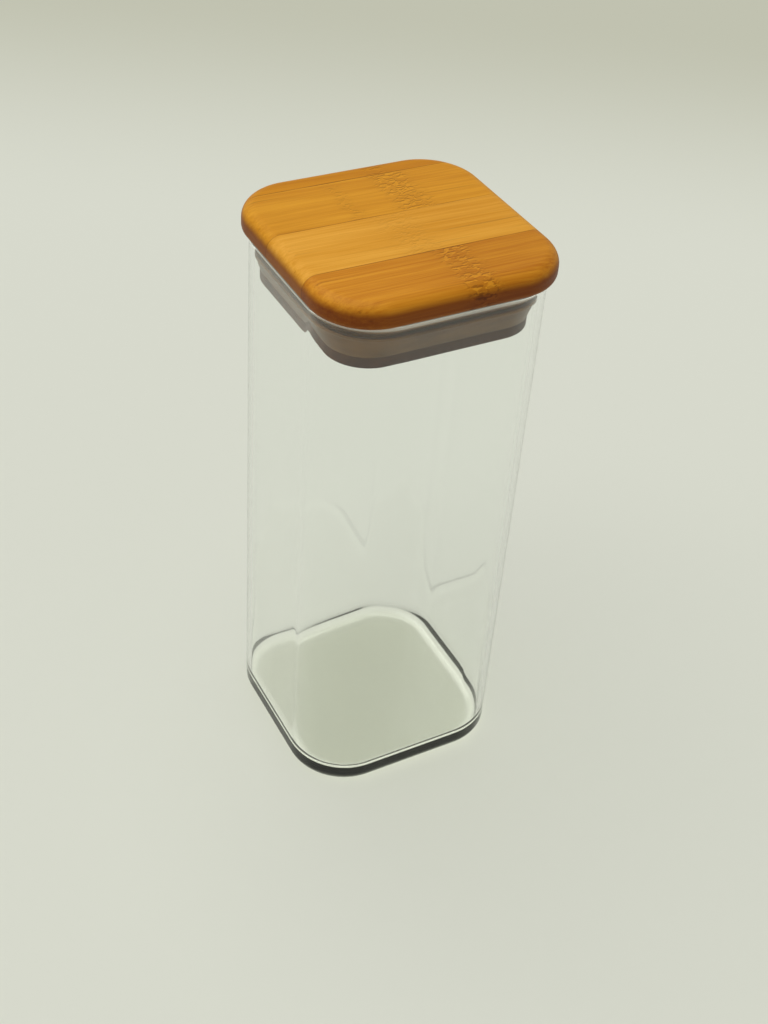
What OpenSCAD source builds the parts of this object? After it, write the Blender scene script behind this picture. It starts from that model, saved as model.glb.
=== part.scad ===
// Tall square glass jar with a push-in bamboo lid and a finned silicone seal.
// The lid is a glued board of bamboo strips in three plies, and it lifts straight off.
// Origin: centre of the footprint on the table. +Z is up, and -Y is the jar's front.

/* [Glass jar] */
// Outer side of the square jar
glass_side = 80; // [70:1:110]
// Radius of the jar's upright outer corners
glass_corner_r = 21.5; // [16:0.5:26]
// Height from the table to the rim
glass_h = 197; // [90:0.5:300]
// Thickness of the walls
glass_wall = 2.2; // [1.6:0.1:3.5]
// Thickness of the floor
glass_floor = 4; // [2.5:0.5:8]
// Radius of the heel, where the walls turn under
heel_r = 3.7; // [1:0.1:6]
// Radius inside, where the walls meet the floor
floor_fillet_r = 5; // [1:0.5:10]
// Width of the flat left on top of the fire-polished rim
rim_flat = 0.4; // [0.2:0.1:0.8]
// Diameter of the shallow hollow under the base
recess_d = 56; // [20:1:60]
// Depth of the hollow under the base
recess_depth = 0.8; // [0.3:0.1:1.5]

/* [Lid board] */
// How far the lid reaches past the glass on each side
lid_overhang = 1.3; // [1:0.1:4]
// How much tighter the lid's corners are than the jar's
lid_corner_ease = 2; // [0:0.5:4]
// Thickness of the top board
board_t = 8.6; // [7.6:0.1:14]
// Radius of the top edge
top_round = 4.6; // [1:0.1:5.5]
// Radius of the bottom edge
bottom_round = 2.2; // [0.5:0.1:3]

/* [Plug] */
// Depth of the plug below the board
plug_depth = 16.8; // [14:0.2:24]
// Gap between the plug's flange and the glass
plug_gap = 3.55; // [2:0.05:5]
// How much tighter the plug's corners are than the glass around them
plug_corner_ease = 2.25; // [0:0.25:3]
// Thickness of the flange that keeps the seal on
flange_t = 4; // [2.5:0.1:5.5]
// Radius of the flange's bottom edge
flange_round = 0.8; // [0.3:0.1:2]

/* [Bamboo strips] */
// Width of one bamboo strip
strip_w = 25; // [20:1:28]
// Width of the narrow strip left over at the board's back edge
back_edge_w = 9.3; // [5:0.1:14]
// Thickness of the middle ply, whose strips run across
core_ply_t = 8.4; // [6:0.1:9.5]

/* [Seal] */
// Depth of the groove that holds the seal
groove_depth = 3; // [2:0.1:4]
// Gap between the fins and the glass
fin_clear = 0.25; // [0.1:0.05:0.5]
// Thickness of a fin at its tip
fin_tip_t = 1.1; // [0.6:0.1:1.4]
// Thickness of the upper fin at its root
fin_root_t = 1.6; // [1.2:0.1:2]
// How far a fin rises from root to tip
fin_rise = 0.8; // [0:0.1:1.4]
// Drop from the board to the upper fin's tip
upper_fin_drop = 2; // [1:0.1:2.4]
// Drop from the board to the lower fin's tip
lower_fin_drop = 4.8; // [4.4:0.1:7]

/* [Hidden] */

// Fineness of arcs and how far cuts run past a face
arc_fn = 96;
past = 1;

// The corner axes of the jar, shared by its outside, its inside and the fins
glass_axis = glass_side / 2 - glass_corner_r;
inner_r = glass_corner_r - glass_wall;
rim_r = (glass_wall - rim_flat) / 2;

// The board overhangs the jar and rests on its rim
lid_side = glass_side + 2 * lid_overhang;
lid_corner_r = glass_corner_r - lid_corner_ease;
lid_axis = lid_side / 2 - lid_corner_r;

// The plug's flange hangs inside the jar, and its groove is cut in from the flange's outline
plug_side = glass_side - 2 * (glass_wall + plug_gap);
plug_corner_r = inner_r - plug_gap - plug_corner_ease;
plug_axis = plug_side / 2 - plug_corner_r;
plug_z = glass_h - plug_depth;
neck_corner_r = plug_corner_r - groove_depth;
groove_h = plug_depth - flange_t;
groove_z = glass_h - groove_h;
core_z = glass_h - core_ply_t;

// Fins reach from inside the seal's band to just short of the glass
fin_tip_x = inner_r - fin_clear;
fin_root_x = plug_side / 2 - groove_depth / 2 - glass_axis;
flange_x = plug_side / 2 - glass_axis;

bamboo = "#d39a45";
bamboo_dark = "#b9812f";
silicone = [0.72, 0.68, 0.62, 0.8];
clear_glass = [0.85, 0.92, 0.9, 0.35];

// A quarter of a disc, in the first quadrant
module quarter_disc(r) {
    intersection() {
        circle(r = r, $fn = arc_fn);
        square(r);
    }
}

// Half section of a slab: from its corner axis out to r, with a rounded top and bottom edge
module slab_profile(r, h, top_r, bottom_r) {
    translate([0, bottom_r]) square([r, h - top_r - bottom_r]);
    if (top_r > 0) {
        translate([0, h - top_r]) square([r - top_r, top_r]);
        translate([r - top_r, h - top_r]) quarter_disc(top_r);
    }
    if (bottom_r > 0) {
        square([r - bottom_r, bottom_r]);
        translate([r - bottom_r, bottom_r]) mirror([0, 1]) quarter_disc(bottom_r);
    }
}

// Carries a half section round a square whose corner axes stand at +-axis
module around_square(axis) {
    for (turn = [0:3])
        rotate([0, 0, 90 * turn]) {
            translate([axis, axis, 0])
                rotate_extrude(angle = 90, $fn = arc_fn) children();
            translate([axis, axis, 0])
                rotate([90, 0, 0]) linear_extrude(height = 2 * axis) children();
        }
}

// A solid slab with rounded corners and rounded edges, standing on z = 0
module rounded_slab(axis, r, h, top_r = 0, bottom_r = 0) {
    around_square(axis) slab_profile(r, h, top_r, bottom_r);
    translate([-axis, -axis, 0]) cube([2 * axis, 2 * axis, h]);
}

// The hollow's half section: a filleted floor, straight walls and the rim's inner rounding
module hollow_profile() {
    depth = glass_h - glass_floor;
    slab_profile(inner_r, depth + past, 0, floor_fillet_r);
    translate([inner_r, depth - rim_r]) difference() {
        square([rim_r, rim_r + past]);
        translate([rim_r, 0]) circle(r = rim_r, $fn = arc_fn);
    }
}

// Everything inside a band of the board, from one glue line to the next
module band_y(low, high) {
    translate([-lid_side, low, 0]) cube([2 * lid_side, high - low, 2 * glass_h]);
}

module band_x(low, high) {
    rotate([0, 0, -90]) band_y(low, high);
}

// One piece of thick clear glass
module glass_jar() {
    color(clear_glass) difference() {
        rounded_slab(glass_axis, glass_corner_r, glass_h, rim_r, heel_r);
        translate([0, 0, glass_floor]) {
            around_square(glass_axis) hollow_profile();
            translate([-glass_axis, -glass_axis, 0])
                cube([2 * glass_axis, 2 * glass_axis, glass_h]);
        }
        translate([0, 0, -past])
            cylinder(h = past + recess_depth, d1 = recess_d + 2 * past,
                     d2 = recess_d - 2 * recess_depth, $fn = arc_fn);
    }
}

// A strip of the top board between two glue lines that run along X
module top_strip(low, high) {
    color(bamboo) intersection() {
        translate([0, 0, glass_h])
            rounded_slab(lid_axis, lid_corner_r, board_t, top_round, bottom_round);
        band_y(low, high);
    }
}

// A strip of the middle ply, laid across under the board; its ends are the groove's floor
module core_strip(low, high) {
    color(bamboo_dark) intersection() {
        translate([0, 0, core_z]) rounded_slab(plug_axis, neck_corner_r, core_ply_t);
        band_x(low, high);
    }
}

// A strip of the bottom ply: the rest of the groove's floor, and the flange under it
module plug_strip(low, high) {
    color(bamboo) intersection() {
        union() {
            translate([0, 0, plug_z])
                rounded_slab(plug_axis, plug_corner_r, flange_t, 0, flange_round);
            translate([0, 0, groove_z])
                rounded_slab(plug_axis, neck_corner_r, core_z - groove_z);
        }
        band_y(low, high);
    }
}

// Half section of the two fins, measured down from the board
module fin_profile() {
    polygon([
        [fin_root_x, -upper_fin_drop - fin_rise],
        [fin_tip_x, -upper_fin_drop],
        [fin_tip_x, -upper_fin_drop - fin_tip_t],
        [fin_root_x, -upper_fin_drop - fin_rise - fin_root_t]
    ]);
    polygon([
        [fin_root_x, -lower_fin_drop - fin_rise],
        [fin_tip_x, -lower_fin_drop],
        [fin_tip_x, -lower_fin_drop - fin_tip_t],
        [flange_x, -groove_h],
        [fin_root_x, -groove_h]
    ]);
}

// A soft band that fills the groove, with two fins that reach out to the glass
module seal_ring() {
    color(silicone) {
        difference() {
            translate([0, 0, groove_z]) rounded_slab(plug_axis, plug_corner_r, groove_h);
            translate([0, 0, groove_z - past])
                rounded_slab(plug_axis, neck_corner_r, groove_h + 2 * past);
        }
        translate([0, 0, glass_h]) around_square(glass_axis) fin_profile();
    }
}

// Glue lines: three in the top board, counted from its back edge, and two in each ply below
edge = lid_side;
back_joint_y = lid_side / 2 - back_edge_w;
top_joints = [-edge, back_joint_y - 2 * strip_w, back_joint_y - strip_w, back_joint_y, edge];
ply_joints = [-edge, -strip_w / 2, strip_w / 2, edge];

glass_jar();
top_strip(top_joints[0], top_joints[1]);  // lid_front_strip
top_strip(top_joints[1], top_joints[2]);  // lid_middle_strip
top_strip(top_joints[2], top_joints[3]);  // lid_rear_strip
top_strip(top_joints[3], top_joints[4]);  // lid_back_edge_strip
core_strip(ply_joints[0], ply_joints[1]);  // core_left_strip
core_strip(ply_joints[1], ply_joints[2]);  // core_middle_strip
core_strip(ply_joints[2], ply_joints[3]);  // core_right_strip
plug_strip(ply_joints[0], ply_joints[1]);  // plug_front_strip
plug_strip(ply_joints[1], ply_joints[2]);  // plug_middle_strip
plug_strip(ply_joints[2], ply_joints[3]);  // plug_rear_strip
seal_ring();
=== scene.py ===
# Tall square glass jar with a glued bamboo lid and a finned silicone seal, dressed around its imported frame.
import math

import bmesh
import bpy
import numpy as np
from mathutils import Matrix, Vector


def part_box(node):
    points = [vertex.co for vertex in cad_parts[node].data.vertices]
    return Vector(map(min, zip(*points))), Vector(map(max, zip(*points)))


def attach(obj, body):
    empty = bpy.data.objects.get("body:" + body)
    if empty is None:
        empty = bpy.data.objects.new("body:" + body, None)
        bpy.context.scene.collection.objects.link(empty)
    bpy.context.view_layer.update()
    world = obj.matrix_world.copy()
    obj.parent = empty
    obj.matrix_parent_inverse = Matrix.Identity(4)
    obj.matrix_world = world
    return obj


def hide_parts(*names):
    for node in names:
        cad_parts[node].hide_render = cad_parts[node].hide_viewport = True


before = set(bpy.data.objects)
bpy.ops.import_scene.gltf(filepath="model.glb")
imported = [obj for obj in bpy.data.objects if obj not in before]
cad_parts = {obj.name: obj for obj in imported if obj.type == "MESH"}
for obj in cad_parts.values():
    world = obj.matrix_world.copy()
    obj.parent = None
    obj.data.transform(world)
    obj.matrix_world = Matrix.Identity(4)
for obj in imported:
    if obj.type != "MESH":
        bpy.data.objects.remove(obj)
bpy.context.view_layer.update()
mm = 0.001

# Levels and widths that the frame already holds
glassLow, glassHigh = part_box("glass_jar")
boardLow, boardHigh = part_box("lid_middle_strip")
plugLow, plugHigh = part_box("plug_middle_strip")
sealLow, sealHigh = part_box("seal_ring")
rimZ = glassHigh.z
boardTopZ = boardHigh.z
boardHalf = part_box("lid_front_strip")[1].x


# Geometry: shapes as functions of two parameters, on whole grids

def squarePath(arcSteps, sideSteps):
    # A closed walk round a square with round corners. Each step has a corner sign (sx, sy), which slides along
    # the straight sides, and a direction (cos, sin), so that a point is axis * sign + radius * direction.
    signs, ways = [], []
    corners = np.array([(1, 1), (-1, 1), (-1, -1), (1, -1)], float)
    for turn in range(4):
        angle = np.linspace(turn, turn + 1, arcSteps, endpoint=False) * math.pi / 2
        ways.append(np.stack([np.cos(angle), np.sin(angle)], 1))
        signs.append(np.repeat(corners[turn:turn + 1], arcSteps, 0))
        slide = np.linspace(0, 1, sideSteps, endpoint=False)[:, None]
        last = (turn + 1) * math.pi / 2
        ways.append(np.repeat([[math.cos(last), math.sin(last)]], sideSteps, 0))
        signs.append(corners[turn] * (1 - slide) + corners[(turn + 1) % 4] * slide)
    return np.concatenate(signs), np.concatenate(ways)


def squareRings(path, axis, radius, height):
    # One ring for each entry of axis, radius and height: axis * sign + radius * direction, at that height
    signs, ways = path
    flat = axis[:, None, None] * signs[None] + radius[:, None, None] * ways[None]
    tall = np.repeat(height[:, None, None], len(signs), 1)
    return np.concatenate([flat, tall], 2)


def roundRings(path, radius, height):
    # Rings that are true circles, with their points at the same bearings as a square ring's
    signs, ways = path
    bearing = signs * 0.6 + ways
    bearing /= np.linalg.norm(bearing, axis=1)[:, None]
    flat = radius[:, None, None] * bearing[None]
    tall = np.repeat(height[:, None, None], len(signs), 1)
    return np.concatenate([flat, tall], 2)


def gridFaces(rows, columns, closeRows=False):
    # Quads of a grid of points, joined up across its last column, and its last row where that closes too
    r = np.arange(rows if closeRows else rows - 1)
    c = np.arange(columns)
    a = (r[:, None] * columns + c[None]).ravel()
    b = (r[:, None] * columns + (c[None] + 1) % columns).ravel()
    d = (((r[:, None] + 1) % rows) * columns + c[None]).ravel()
    e = (((r[:, None] + 1) % rows) * columns + (c[None] + 1) % columns).ravel()
    return np.stack([a, b, e, d], 1)


weldDistance = 1e-7


def makePiece(name, points, faces, sharp=None):
    # Puts points and faces into a mesh, welds collapsed rings and turns the faces outwards
    mesh = bpy.data.meshes.new(name)
    faces = faces if isinstance(faces, list) else faces.tolist()
    mesh.from_pydata(points.reshape(-1, 3).tolist(), [], faces)
    work = bmesh.new()
    work.from_mesh(mesh)
    bmesh.ops.remove_doubles(work, verts=work.verts, dist=weldDistance)
    bmesh.ops.recalc_face_normals(work, faces=work.faces)
    if sharp is not None:
        for edge in work.edges:
            edge.smooth = edge.calc_face_angle(0) < sharp
    work.to_mesh(mesh)
    work.free()
    if sharp is None:
        mesh.shade_smooth()
    else:
        mesh.polygons.foreach_set("use_smooth", np.ones(len(mesh.polygons), bool))
    mesh.update()
    piece = bpy.data.objects.new(name, mesh)
    bpy.context.scene.collection.objects.link(piece)
    return piece


def arc(centre, radius, start, end, steps):
    # Points of a circle's arc, as (across, up), from one angle to another in degrees
    angle = np.radians(np.linspace(start, end, steps))
    return np.stack([centre[0] + radius * np.cos(angle), centre[1] + radius * np.sin(angle)], 1)


def line(start, end, steps, bunch=1.0):
    # Points of a straight run without its ends, drawn towards both ends where bunch is over 1
    t = np.linspace(0, 1, steps + 2)[1:-1]
    t = 0.5 + 0.5 * np.sign(t - 0.5) * (1 - (1 - np.abs(2 * t - 1)) ** bunch)
    start, end = np.array(start, float), np.array(end, float)
    return start + (end - start) * t[:, None]


print("stage: helpers ready")


# The glass jar

jarForm = dict(
    cornerR=21.5 * mm, wall=2.2 * mm, floor=4 * mm, heelR=3.7 * mm, filletR=5 * mm,
    rimR=0.9 * mm, recessR=28 * mm, recessDepth=0.8 * mm, floorSwell=0.12 * mm,
    arcSteps=30, sideSteps=22, wallSteps=60, wallBunch=1.6,
)


def glassJar():
    # One half section of heel, wall, rim, inner wall and fillet, as (radius, z), carried round the rounded
    # square. The hollow under the base is depth * (1 - reach squared) squared on circles, and the floor is
    # the square drawn in to its middle, swelling by 1 - shrink squared.
    form = jarForm
    half = glassHigh.x
    axis = half - form["cornerR"]
    outer, inner = form["cornerR"], form["cornerR"] - form["wall"]
    path = squarePath(form["arcSteps"], form["sideSteps"])

    heel = arc((outer - form["heelR"], form["heelR"]), form["heelR"], -90, 0, 16)
    rimOut = arc((outer - form["rimR"], rimZ - form["rimR"]), form["rimR"], 0, 90, 10)
    rimIn = arc((inner + form["rimR"], rimZ - form["rimR"]), form["rimR"], 90, 180, 10)
    fillet = arc((inner - form["filletR"], form["floor"] + form["filletR"]), form["filletR"], 0, -90, 18)
    profile = np.concatenate([
        heel,
        line(heel[-1], rimOut[0], form["wallSteps"], form["wallBunch"]),
        rimOut,
        rimIn,
        line(rimIn[-1], fillet[0], form["wallSteps"], form["wallBunch"]),
        fillet,
    ])
    wallRings = squareRings(path, np.full(len(profile), axis), profile[:, 0], profile[:, 1])

    # Under the base: a shallow round hollow, and the flat ring that the jar stands on
    reach = np.linspace(0, 1, 26)
    hollowRings = roundRings(path, form["recessR"] * reach, form["recessDepth"] * (1 - reach ** 2) ** 2)
    blend = np.linspace(0, 1, 9)[1:, None, None]
    foot = squareRings(path, np.array([axis]), heel[:1, 0], heel[:1, 1])
    flatRings = hollowRings[-1:] * (1 - blend) + foot * blend

    # Inside: the floor, drawn in to its middle, with a slight swell like pressed glass
    shrink = np.linspace(1, 0, 30)[1:]
    floorRings = squareRings(path, axis * shrink, fillet[-1, 0] * shrink, np.full(len(shrink), form["floor"]))
    floorRings[:, :, 2] += form["floorSwell"] * (1 - shrink[:, None] ** 2)

    rings = np.concatenate([hollowRings, flatRings[:-1], wallRings, floorRings])
    return makePiece("jarGlass", rings, gridFaces(len(rings), rings.shape[1]))


# The bamboo strips: a rounded square slab, cut between two glue lines

boardForm = dict(
    cornerR=19.5 * mm, topRound=4.6 * mm, bottomRound=2.2 * mm, hairline=0.05 * mm, topEase=0.02 * mm,
)
plugForm = dict(cornerR=13.5 * mm, grooveDepth=3 * mm, flangeRound=0.8 * mm, hairline=0.04 * mm)


def slabSection(low, high, bottomR, topR, steps, step=None):
    # Half outline of a slab as (inset, z), from the bottom's flat up to the top's flat. A step is (z, inset),
    # where the slab narrows to a neck.
    bottom = arc((bottomR, low + bottomR), bottomR, 270, 180, steps)
    rows = [bottom]
    if step is None:
        top = arc((topR, high - topR), topR, 180, 90, steps)
        rows += [line(bottom[-1], top[0], 5, 1.4), top]
    else:
        stepZ, inset = step
        rows += [line(bottom[-1], (0, stepZ), 5, 1.4), [(0, stepZ)], line((0, stepZ), (inset, stepZ), 3)]
        rows += [[(inset, stepZ)], line((inset, stepZ), (inset, high), 4), [(inset, high)]]
    return np.concatenate(rows)


def boardStrip(name, half, cornerR, section, lowY, highY, across=14, runs=22):
    # The slab's right edge is walked in five legs: front side, corner, right side, corner, back side. Each
    # point is centre + radius * (cos, sin) of the angle at its place in the walk. The walk starts and ends on
    # the glue lines, and the left edge is its mirror image.
    axis = half - cornerR
    radius = cornerR - section[:, 0]

    def legOf(y, r):
        # How far along the five legs the edge crosses a glue line
        if abs(y) <= axis:
            return 2 + (y + axis) / (2 * axis) + 0 * r
        bend = np.arcsin(np.clip((abs(y) - axis) / r, -1, 1)) / (math.pi / 2)
        return 3 + bend if y > 0 else 2 - bend

    start = 0 * radius if lowY is None else legOf(lowY, radius)
    finish = 0 * radius + 5 if highY is None else legOf(highY, radius)
    breaks = [b for b in range(1, 5) if start.max() < b < finish.min()]
    knots = [start] + [0 * radius + b for b in breaks] + [finish]
    walk = []
    for a, b in zip(knots[:-1], knots[1:]):
        t = np.linspace(0, 1, runs, endpoint=False)[:, None]
        walk.append(a[None] + (b - a)[None] * t)
    walk = np.concatenate(walk + [finish[None]])

    angle = (np.clip(walk - 1, 0, 1) - 1 + np.clip(walk - 3, 0, 1)) * math.pi / 2
    centreX = axis * (np.clip(walk, 0, 1) - np.clip(walk - 4, 0, 1))
    centreY = axis * (2 * np.clip(walk - 2, 0, 1) - 1)
    x = centreX + radius[None] * np.cos(angle)
    x = np.where((walk <= 1) | (walk >= 4), centreX, x)
    y = centreY + radius[None] * np.sin(angle)
    z = np.repeat(section[None, :, 1], len(walk), 0)
    right = np.stack([x, y, z], 2)
    left = (right * [-1, 1, 1])[:, ::-1]

    # The flats reach across from edge to edge, with a row close inside each rounding
    share = np.linspace(-1, 1, across)
    share = np.concatenate([[-0.985], share[1:-1], [0.985]])[None, :, None]
    top = right[:, -1:] * [1, 0, 0] * -share + right[:, -1:] * [0, 1, 1]
    bottom = right[:, :1] * [1, 0, 0] * share + right[:, :1] * [0, 1, 1]
    loops = np.concatenate([right, top, left, bottom], 1)
    rows, columns = loops.shape[:2]
    faces = gridFaces(rows, columns).tolist()
    if lowY is not None:
        faces.append(list(range(columns)))
    if highY is not None:
        faces.append([(rows - 1) * columns + i for i in range(columns)])
    return makePiece(name, loops, faces, sharp=math.radians(40))


def easeEdges(piece, width):
    # Takes the sharp arris off the cut faces, so that two strips meet in a hairline
    ease = piece.modifiers.new("ease", "BEVEL")
    ease.width = width
    ease.segments = 2
    ease.limit_method = "ANGLE"
    ease.angle_limit = math.radians(50)
    ease.harden_normals = True


def cutStrips(nodes, oldWord, newWord, half, form, section):
    # One strip for each node, between the glue lines that the node's box gives
    strips = {}
    for node in nodes:
        low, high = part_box(node)
        lowY = None if low.y < -half + mm else low.y
        highY = None if high.y > half - mm else high.y
        strips[node] = boardStrip(node.replace(oldWord, newWord), half, form["cornerR"], section, lowY, highY)
        easeEdges(strips[node], form["hairline"])
    return strips


def lidBoard():
    # The top board: a slab with a large rounding above and a small one below
    form = boardForm
    top = boardTopZ - form["topEase"]
    section = slabSection(boardLow.z, top, form["bottomRound"], form["topRound"], 12)
    nodes = ("lid_front_strip", "lid_middle_strip", "lid_rear_strip", "lid_back_edge_strip")
    return cutStrips(nodes, "lid", "board", boardHalf, form, section)


def plugBoard():
    # The bottom ply: a flange with a rounded lower edge, which narrows to the groove's floor above it
    form = plugForm
    step = (sealLow.z, form["grooveDepth"])
    section = slabSection(plugLow.z, plugHigh.z, form["flangeRound"], 0, 6, step)
    nodes = ("plug_front_strip", "plug_middle_strip", "plug_rear_strip")
    return cutStrips(nodes, "plug", "flange", plugHigh.x, form, section)


# The seal: one closed section carried round the plug, its fins on the glass's corner axes

sealForm = dict(
    finGap=0.25 * mm, tipThick=1.1 * mm, upperDrop=2.0 * mm, lowerDrop=4.8 * mm,
    rise=0.65 * mm, upperRoot=1.45 * mm, rootBlend=0.5 * mm,
)


def sealRing():
    # Section of band and fins, walked as a closed line of (x, z). The corner axis of each point slides from
    # the plug's to the glass's in step with how far the point reaches out.
    form = sealForm
    plugHalf, plugR = plugHigh.x, plugForm["cornerR"]
    plugAxis = plugHalf - plugR
    glassAxis = glassHigh.x - jarForm["cornerR"]
    neckX = plugHalf - plugForm["grooveDepth"]
    tipX = glassHigh.x - jarForm["wall"] - form["finGap"]
    top, bottom = sealHigh.z, sealLow.z

    def tip(drop):
        # The round nose of a fin, from its upper side to its lower side
        nose = form["tipThick"] / 2
        return arc((tipX - nose, top - drop - nose), nose, 90, -90, 9)

    upper, lower = tip(form["upperDrop"]), tip(form["lowerDrop"])
    rootTop = top - form["upperDrop"] - form["rise"]
    gapTop = rootTop - form["upperRoot"]
    gapLow = top - form["lowerDrop"] - form["rise"]
    rows = [
        [(neckX, bottom)], line((neckX, bottom), (neckX, top), 6), [(neckX, top)],
        line((neckX, top), (plugHalf, top), 3), [(plugHalf, top)],
        line((plugHalf, top), (plugHalf, rootTop + form["rootBlend"]), 2),
        [(plugHalf, rootTop + form["rootBlend"]), (plugHalf + 0.15 * mm, rootTop + 0.12 * mm),
         (plugHalf + form["rootBlend"], rootTop)],
        line((plugHalf + form["rootBlend"], rootTop), upper[0], 4), upper,
        line(upper[-1], (plugHalf + form["rootBlend"], gapTop), 4),
        [(plugHalf + form["rootBlend"], gapTop), (plugHalf + 0.1 * mm, (gapTop + gapLow) / 2),
         (plugHalf + form["rootBlend"], gapLow)],
        line((plugHalf + form["rootBlend"], gapLow), lower[0], 4), lower,
        line(lower[-1], (plugHalf, bottom), 14), [(plugHalf, bottom)],
        line((plugHalf, bottom), (neckX, bottom), 3),
    ]
    section = np.concatenate([np.array(r, float) for r in rows])
    share = np.clip((section[:, 0] - plugHalf) / (tipX - plugHalf), 0, 1)
    axis = plugAxis + (glassAxis - plugAxis) * share
    rings = squareRings(squarePath(26, 16), axis, section[:, 0] - axis, section[:, 1])
    faces = gridFaces(len(rings), rings.shape[1], closeRows=True)
    return makePiece("sealBand", rings, faces, sharp=math.radians(50))


# Shader maths written as expressions

class Signal:
    # One output socket. Sums, differences and products with it add Math nodes.
    def __init__(self, finish, socket):
        self.finish = finish
        self.socket = socket

    def __add__(self, other):
        return self.finish.math("ADD", self, other)

    def __sub__(self, other):
        return self.finish.math("SUBTRACT", self, other)

    def __rsub__(self, other):
        return self.finish.math("SUBTRACT", other, self)

    def __mul__(self, other):
        return self.finish.math("MULTIPLY", self, other)

    def __neg__(self):
        return self.finish.math("MULTIPLY", self, -1.0)

    __radd__ = __add__
    __rmul__ = __mul__


class Finish:
    # A material or world being wired. Every node comes from node(): its type, its settings, then its sockets.
    def __init__(self, owner):
        self.owner = owner
        owner.use_nodes = True
        self.tree = owner.node_tree
        self.tree.nodes.clear()

    def node(self, kind, settings=None, sockets=None, output=0):
        made = self.tree.nodes.new(kind)
        for key, value in (settings or {}).items():
            setattr(made, key, value)
        for key, value in (sockets or {}).items():
            if isinstance(value, Signal):
                self.tree.links.new(value.socket, made.inputs[key])
            else:
                made.inputs[key].default_value = value
        return Signal(self, made.outputs[output]) if len(made.outputs) else made

    def math(self, operation, first, second=0.0):
        return self.node("ShaderNodeMath", dict(operation=operation), {0: first, 1: second})

    def mix(self, factor, first, second, blend="MIX"):
        first, second = (c if isinstance(c, Signal) else (*c, 1.0) for c in (first, second))
        settings = dict(data_type="RGBA", blend_type=blend, clamp_factor=True)
        return self.node("ShaderNodeMix", settings, {0: factor, 6: first, 7: second}, 2)

    def step(self, value, low, high):
        # 0 below low, 1 above high and a smooth rise between
        ends = {"Value": value, "From Min": low, "From Max": high}
        return self.node("ShaderNodeMapRange", dict(interpolation_type="SMOOTHSTEP"), ends)

    def hill(self, value, width):
        # 1 at zero, falling to nearly nothing at a few widths, as exp of minus (value / width) squared
        scaled = value * (1 / width)
        return self.math("EXPONENT", -(scaled * scaled))

    def places(self):
        # Object coordinates in millimetres
        raw = self.node("ShaderNodeTexCoord", output=3)
        return self.node("ShaderNodeVectorMath", dict(operation="SCALE"), {0: raw, "Scale": 1000.0})

    def stretch(self, vector, scale, shift=(0, 0, 0), turn=(0, 0, 0)):
        sockets = {"Vector": vector, "Scale": scale, "Location": shift, "Rotation": turn}
        return self.node("ShaderNodeMapping", None, sockets)

    def noise(self, vector, detail=3.0, roughness=0.5, distortion=0.0):
        return self.node("ShaderNodeTexNoise", None, {
            "Vector": vector,
            "Scale": 1.0,
            "Detail": detail,
            "Roughness": roughness,
            "Distortion": distortion,
        })

    def axes(self, vector):
        split = self.node("ShaderNodeSeparateXYZ", None, {0: vector})
        return [Signal(self, out) for out in split.socket.node.outputs]

    def join(self, x, y, z):
        return self.node("ShaderNodeCombineXYZ", None, {0: x, 1: y, 2: z})

    def bump(self, height, distance, strength=1.0):
        sockets = {"Height": height, "Distance": distance, "Strength": strength}
        return self.node("ShaderNodeBump", None, sockets)

    def close(self, shader):
        self.node("ShaderNodeOutputMaterial", None, {"Surface": shader})
        return self.owner


def paint(red, green, blue):
    # A colour as a screen shows it, 0 to 255, in the linear values that shaders take
    c = np.array([red, green, blue]) / 255
    return tuple(float(v) for v in np.where(c <= 0.04045, c / 12.92, ((c + 0.055) / 1.055) ** 2.4))


# Finishes

bambooLooks = dict(
    lid_front_strip=dict(pale=paint(218, 148, 34), deep=paint(188, 113, 6), right=0.88, seed=3.1,
                         knuckles=[(7.0, 5.0, 1.0)]),
    lid_middle_strip=dict(pale=paint(230, 166, 58), deep=paint(210, 142, 26), right=0.93, seed=17.7,
                          knuckles=[(0.0, 9.0, 0.3)]),
    lid_rear_strip=dict(pale=paint(220, 154, 34), deep=paint(198, 128, 8), right=0.95, seed=41.3,
                        knuckles=[(11.5, 5.5, 1.0), (-9.5, 3.0, 0.35)]),
    lid_back_edge_strip=dict(pale=paint(208, 138, 10), deep=paint(186, 115, 0), right=0.95, seed=58.9,
                             knuckles=[(9.0, 6.0, 0.5)]),
    # The plug strips are the same bamboo as the board, darkened well below its colours as painted shade under
    # the lid.
    plug_front_strip=dict(pale=paint(96, 50, 10), deep=paint(62, 30, 4), right=1.0, seed=71.2, knuckles=[]),
    plug_middle_strip=dict(pale=paint(104, 56, 12), deep=paint(70, 34, 4), right=1.0, seed=83.6,
                           knuckles=[(-14.0, 5.0, 0.8)]),
    plug_rear_strip=dict(pale=paint(98, 52, 10), deep=paint(64, 32, 4), right=1.0, seed=96.4, knuckles=[]),
)
bambooFinish = dict(
    tilt=0.02, streakLength=46.0, streakWidth=0.9, bandLength=95.0, bandWidth=4.2,
    fibreLength=15.0, fibreWidth=0.24, darkLength=70.0, darkWidth=1.3, poreLength=4.5, poreWidth=0.2,
    fleckScale=(0.36, 0.85, 0.85), fleckTurn=math.radians(-28), glueThick=0.16,
    # The side tints are painted shade on the board's side: the first below the rounding, the second, lighter,
    # near the bottom edge.
    roughness=0.46, sideFrom=1.2, sideTo=4.2, lowFrom=5.8, lowTo=8.2,
    sideShadePaint=(0.34, 0.21, 0.08), lowSideShadePaint=(0.44, 0.34, 0.14), glueColour=paint(96, 48, 6),
)


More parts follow.
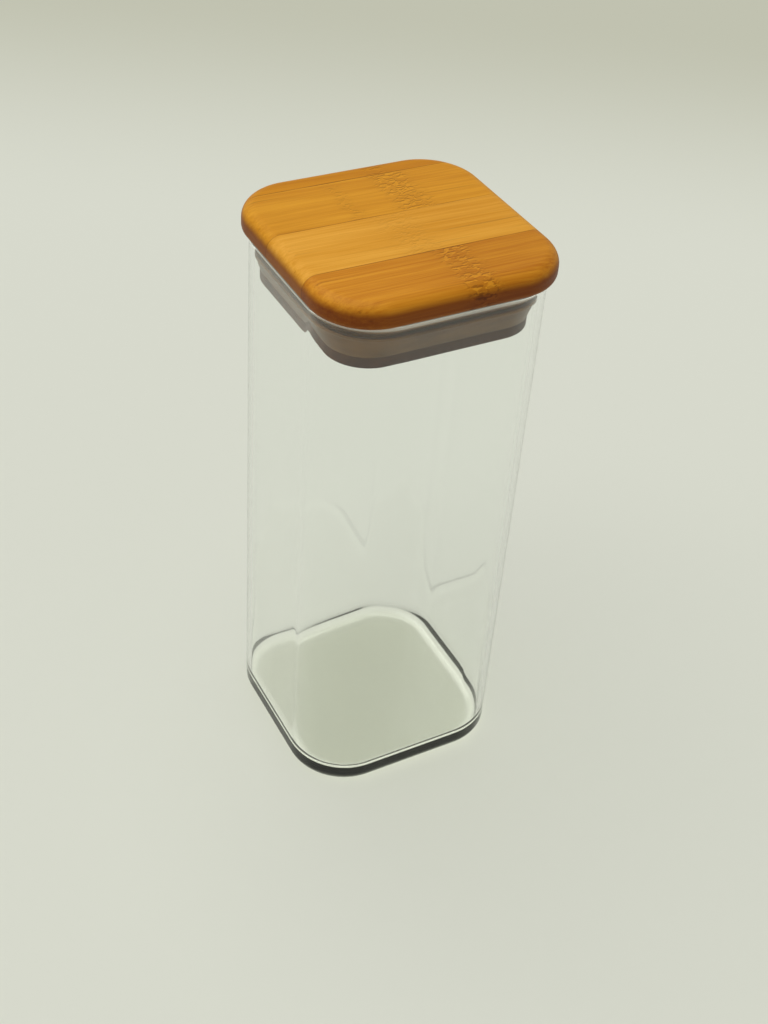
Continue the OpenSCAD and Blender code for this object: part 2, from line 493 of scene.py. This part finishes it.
def bamboo(name, look, jointsY):
    # Tone = the weighted sum of three noises, stretched along the fibres. Knuckles bend the fibres and add
    # slanting flecks with painted shade and painted highlights, and the glue lines lie on top.
    f = Finish(bpy.data.materials.new(name))
    s = bambooFinish
    p = f.places()
    x, y, z = f.axes(p)
    seed = look["seed"]

    # Fibres lie along X with a slight slant, and wander a little
    drift = f.noise(f.stretch(p, (1 / 60, 1 / 14, 1 / 14), (seed, 0, 0)), 2.0) - 0.5
    lane = y + x * s["tilt"] + drift * 2.4
    knuckle = None
    for place, width, strength in look["knuckles"]:
        edge = f.noise(f.stretch(p, (0.05, 0.35, 0.35), (0, seed, 0)), 3.0) - 0.5
        swell = f.hill(x - place + edge * 7.0, width) * strength
        knuckle = swell if knuckle is None else knuckle + swell
    if knuckle is not None:
        swirl = f.noise(f.stretch(p, (0.22, 0.3, 0.3), (seed, 5, 0)), 2.0) - 0.5
        lane = lane + knuckle * swirl * 5.0

    def fibres(length, width, shift, detail, roughness):
        where = f.join(x * (1 / length), lane * (1 / width), z * (1 / width))
        return f.noise(f.stretch(where, (1, 1, 1), (seed * 1.7, shift, shift)), detail, roughness) - 0.5

    band = fibres(s["bandLength"], s["bandWidth"], 3.3, 2.0, 0.5)
    streak = fibres(s["streakLength"], s["streakWidth"], 11.9, 3.0, 0.62)
    fibre = fibres(s["fibreLength"], s["fibreWidth"], 29.3, 2.0, 0.6)
    tone = band * 1.5 + streak * 1.8 + fibre * 0.9 + 0.5
    colour = f.mix(tone, look["deep"], look["pale"])

    # A few long darker streaks, and fine short pores
    dark = f.step(fibres(s["darkLength"], s["darkWidth"], 47.1, 2.0, 0.5), 0.14, 0.26)
    colour = f.mix(dark * 0.45, colour, tuple(c * 0.55 for c in look["deep"]))
    pore = f.step(fibres(s["poreLength"], s["poreWidth"], 61.7, 1.0, 0.5), 0.15, 0.3)
    colour = f.mix(pore * 0.22, colour, tuple(c * 0.6 for c in look["deep"]))

    relief = streak * 0.4 + fibre * 0.6
    if knuckle is not None:
        # At a knuckle the relief is in the bump, and its light and shade are painted too: dark flecks as
        # painted shade, and pale flecks just beside them as painted highlights.
        turned = f.stretch(p, s["fleckScale"], (seed, 2, 0), (0, 0, s["fleckTurn"]))
        fleck = f.noise(turned, 3.0, 0.6, 0.6)
        shifted = f.stretch(p, s["fleckScale"], (seed + 0.25, 2.35, 0), (0, 0, s["fleckTurn"]))
        beside = f.noise(shifted, 3.0, 0.6, 0.6)
        shade = f.step(fleck, 0.5, 0.57) * f.step(knuckle, 0.05, 0.6)
        shine = f.step(beside, 0.51, 0.58) * f.step(knuckle, 0.05, 0.6)
        colour = f.mix(knuckle * 0.35, colour, tuple(c * 0.82 for c in look["deep"]))
        colour = f.mix(shade * 0.85, colour, tuple(c * 0.62 for c in look["deep"]))
        colour = f.mix(shine * 0.7, colour, tuple(min(1, c * 1.12) for c in look["pale"]))
        relief = relief + (fleck - 0.5) * knuckle * 2.2

    # Towards the right the board is deeper in colour
    fade = f.step(x, -30.0, 36.0)
    colour = f.mix(fade, colour, (look["right"], look["right"] * 0.97, look["right"] * 0.8), "MULTIPLY")

    # Glue shows here and there as a thin dark line
    for jointY in jointsY:
        thick = f.hill(y - jointY, s["glueThick"])
        patchy = f.step(f.noise(f.stretch(p, (0.035, 0.02, 0.02), (seed + jointY, 7, 0)), 2.0), 0.42, 0.6)
        colour = f.mix(thick * (patchy * 0.75 + 0.18), colour, s["glueColour"])
    return f, colour, relief, (x, y, z)


def boardFinish(node, look, jointsY):
    # The top shows the bamboo's own colour. Its side, from the rounding down, gets painted shade by how deep
    # it lies: deepest below the rounding, lighter near the bottom edge.
    f, colour, relief, (_, _, z) = bamboo(node + "Bamboo", look, jointsY)
    s = bambooFinish
    depth = boardTopZ / mm - z
    side = f.step(depth, s["sideFrom"], s["sideTo"])
    shade = f.mix(f.step(depth, s["lowFrom"], s["lowTo"]), s["sideShadePaint"], s["lowSideShadePaint"])
    colour = f.mix(side, colour, shade, "MULTIPLY")
    shader = f.node("ShaderNodeBsdfPrincipled", None, {
        "Base Color": colour,
        "Roughness": f.step(relief, -0.6, 0.8) * 0.12 + (s["roughness"] - 0.06),
        "Normal": f.bump(relief, 0.00005, 0.6),
        "Specular IOR Level": 0.15,
    })
    return f.close(shader)


def plugFinish(node, look, jointsY):
    # Its colours, set in bambooLooks, are darkened as painted shade under the lid.
    f, colour, relief, _ = bamboo(node + "Bamboo", look, jointsY)
    shader = f.node("ShaderNodeBsdfPrincipled", None, {
        "Base Color": colour,
        "Roughness": f.step(relief, -0.6, 0.8) * 0.1 + 0.5,
        "Normal": f.bump(relief, 0.00006, 0.6),
        "Specular IOR Level": 0.3,
    })
    return f.close(shader)


def coreFinish():
    # The middle ply shows its sawn edges: strips laid across, so fibres run along Y
    f = Finish(bpy.data.materials.new("coreBamboo"))
    p = f.places()
    long = f.noise(f.stretch(p, (1.1, 0.03, 1.1), (5, 0, 0)), 3.0)
    pores = f.step(f.noise(f.stretch(p, (2.6, 0.5, 2.6), (0, 9, 0)), 2.0), 0.55, 0.7)
    colour = f.mix(long, paint(158, 104, 42), paint(196, 140, 68))
    colour = f.mix(pores * 0.5, colour, paint(112, 66, 20))
    shader = f.node("ShaderNodeBsdfPrincipled", None, {
        "Base Color": colour,
        "Roughness": pores * 0.1 + 0.6,
        "Normal": f.bump(long, 0.0001, 0.5),
    })
    return f.close(shader)


silicone = dict(colour=paint(138, 98, 48), deep=paint(110, 74, 30), roughness=0.42)


def sealFinish():
    f = Finish(bpy.data.materials.new("seal"))
    p = f.places()
    cloud = f.noise(f.stretch(p, (0.05, 0.05, 0.2), (3, 1, 4)), 3.0)
    speck = f.noise(f.stretch(p, (1.8, 1.8, 1.8)), 2.0)
    colour = f.mix(f.step(cloud, 0.3, 0.7), silicone["deep"], silicone["colour"])
    shader = f.node("ShaderNodeBsdfPrincipled", None, {
        "Base Color": colour,
        "Roughness": speck * 0.12 + (silicone["roughness"] - 0.06),
        "Normal": f.bump(speck, 0.00004, 0.3),
        "Subsurface Weight": 0.12,
        "Subsurface Radius": (0.004, 0.003, 0.002),
        "Subsurface Scale": 1.0,
        "Specular IOR Level": 0.4,
    })
    return f.close(shader)


glass = dict(tint=(0.985, 0.993, 0.985), baseTintAndShade=(0.84, 0.85, 0.81), shade=(0.92, 0.925, 0.915), ior=1.5,
             heelPaintedGlow=(0.075, 0.078, 0.06), rimPaintedGlow=(0.20, 0.21, 0.18))


def glassFinish():
    # Clear glass, with its base darker and greener: partly the thick glass's own tint, partly painted shade
    # for the floor seen under it. Lamps shine through it, dimmed a little at each surface.
    f = Finish(bpy.data.materials.new("clearGlass"))
    x, y, z = f.axes(f.places())
    axis = (glassHigh.x - jarForm["cornerR"]) / mm
    pastX = f.math("MAXIMUM", f.math("ABSOLUTE", x) - axis, 0.0)
    pastY = f.math("MAXIMUM", f.math("ABSOLUTE", y) - axis, 0.0)
    off = f.math("SQRT", pastX * pastX + pastY * pastY) + axis
    # The base mask: where the glass takes its darker, greener tint, partly its own colour and partly painted
    # shade.
    base = (1 - f.step(z, 4.6, 6.4)) * (1 - f.step(off, 33.0, 36.0))

    # Painted light: the glass glows faintly at the heel and in a bright band just under the rim, standing in
    # for light that the wall carries along inside it
    heel = (1 - f.step(z, 2.2, 4.2)) * f.step(off, 34.5, 37.0)
    paintedGlow = f.mix(heel, (0.0, 0.0, 0.0), glass["heelPaintedGlow"])
    paintedGlow = f.mix(f.step(z, rimZ / mm - 1.6, rimZ / mm - 0.8), paintedGlow, glass["rimPaintedGlow"])
    solid = f.node("ShaderNodeBsdfPrincipled", None, {
        "Emission Color": paintedGlow,
        "Emission Strength": 1.0,
        "Base Color": f.mix(base, glass["tint"], glass["baseTintAndShade"]),
        "Roughness": 0.0,
        "Transmission Weight": 1.0,
        "IOR": glass["ior"],
    })
    clear = f.node("ShaderNodeBsdfTransparent", None, {"Color": (*glass["shade"], 1.0)})
    lampRay = f.node("ShaderNodeLightPath", output="Is Shadow Ray")
    f.owner.cycles.emission_sampling = "NONE"
    return f.close(f.node("ShaderNodeMixShader", None, {0: lampRay, 1: solid, 2: clear}))


# The set: floor, light and camera

studio = dict(
    # The far floor colour is the paper darkened by painted shade.
    floorNear=paint(217, 219, 206), floorFarShaded=paint(194, 195, 177), floorDrop=0.2 * mm,
    fadeFrom=0.36, fadeTo=0.74, ambient=0.45, keyEnergy=1.8, keyAngle=70.0, keyFrom=(-0.3, 0.25, 1.0),
)
camera = dict(
    place=(-0.20225, -0.34726, 0.42113), azimuth=-30.573, lookDown=39.342, roll=-4.646,
    lens=51.457, sensor=36.0,
)


def floorFinish():
    # Pale paper, with painted shade that darkens it far away along the camera's heading
    f = Finish(bpy.data.materials.new("floorPaper"))
    p = f.node("ShaderNodeTexCoord", output=3)
    x, y, _ = f.axes(p)
    heading = math.radians(-camera["azimuth"])
    away = x * math.sin(heading) + y * math.cos(heading)
    fade = f.step(away, studio["fadeFrom"], studio["fadeTo"])
    shader = f.node("ShaderNodeBsdfPrincipled", None, {
        "Base Color": f.mix(fade, studio["floorNear"], studio["floorFarShaded"]),
        "Roughness": 0.9,
        "Specular IOR Level": 0.1,
    })
    return f.close(shader)


def makeSet():
    mesh = bpy.data.meshes.new("floor")
    reach, level = 6.0, glassLow.z - studio["floorDrop"]
    corners = [(x * reach, y * reach, level) for x, y in ((-1, -1), (1, -1), (1, 1), (-1, 1))]
    mesh.from_pydata(corners, [], [(0, 1, 2, 3)])
    floor = bpy.data.objects.new("floor", mesh)
    bpy.context.scene.collection.objects.link(floor)
    mesh.materials.append(floorFinish())

    key = bpy.data.lights.new("key", "SUN")
    key.angle = math.radians(studio["keyAngle"])
    key.energy = studio["keyEnergy"]
    lamp = bpy.data.objects.new("key", key)
    lamp.rotation_euler = (-Vector(studio["keyFrom"])).to_track_quat("-Z", "Y").to_euler()
    bpy.context.scene.collection.objects.link(lamp)

    # What the camera, gloss and glass see behind the floor is its far colour. Other rays get the soft light.
    bpy.context.scene.world = bpy.data.worlds.new("studio")
    f = Finish(bpy.context.scene.world)
    seen = f.node("ShaderNodeLightPath", output="Is Camera Ray")
    for ray in ("Is Glossy Ray", "Is Transmission Ray"):
        seen = f.math("MAXIMUM", seen, f.node("ShaderNodeLightPath", output=ray))
    soft = f.node("ShaderNodeBackground", None, {"Color": (*[studio["ambient"]] * 3, 1.0)})
    far = f.node("ShaderNodeBackground", None, {"Color": (*studio["floorFarShaded"], 1.0)})
    mixed = f.node("ShaderNodeMixShader", None, {0: seen, 1: soft, 2: far})
    f.node("ShaderNodeOutputWorld", None, {"Surface": mixed})


def makeCamera():
    # Columns of the camera's turn: right, up and back, after a roll about the line of sight
    az, down, roll = (math.radians(camera[k]) for k in ("azimuth", "lookDown", "roll"))
    forward = np.array([-math.sin(az) * math.cos(down), math.cos(az) * math.cos(down), -math.sin(down)])
    right = np.cross(forward, (0, 0, 1))
    right /= np.linalg.norm(right)
    below = np.cross(forward, right)
    turnedRight = right * math.cos(roll) + below * math.sin(roll)
    turnedBelow = below * math.cos(roll) - right * math.sin(roll)
    columns = np.stack([turnedRight, -turnedBelow, -forward], 1)
    data = bpy.data.cameras.new("view")
    data.sensor_width = camera["sensor"]
    data.lens = camera["lens"]
    data.clip_start = 0.01
    eye = bpy.data.objects.new("view", data)
    eye.matrix_world = Matrix.Translation(camera["place"]) @ Matrix(columns.tolist()).to_4x4()
    bpy.context.scene.collection.objects.link(eye)
    bpy.context.scene.camera = eye


# Assembly

def dress(piece, node, material, body):
    # Gives a piece its finish, hides the node that it stands for and hangs it on its body's empty
    piece.data.materials.append(material)
    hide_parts(node)
    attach(piece, body)


def glueLines(node, half):
    # Where the node's cut sides lie, in millimetres
    low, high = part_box(node)
    return [v / mm for v in (low.y, high.y) if abs(v) < half - mm]


dress(glassJar(), "glass_jar", glassFinish(), "jar")
print("stage: glass jar")

for node, piece in lidBoard().items():
    finish = boardFinish(node, bambooLooks[node], glueLines(node, boardHalf))
    dress(piece, node, finish, "lid")
print("stage: board strips")

for node, piece in plugBoard().items():
    finish = plugFinish(node, bambooLooks[node], glueLines(node, plugHigh.x))
    dress(piece, node, finish, "lid")
print("stage: plug strips")

core = coreFinish()
for node in ("core_left_strip", "core_middle_strip", "core_right_strip"):
    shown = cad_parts[node]
    shown.data.materials.clear()
    shown.data.materials.append(core)

dress(sealRing(), "seal_ring", sealFinish(), "lid")
print("stage: core and seal")

makeSet()
makeCamera()
bpy.context.scene.view_settings.view_transform = "Standard"
print("stage: set and camera")
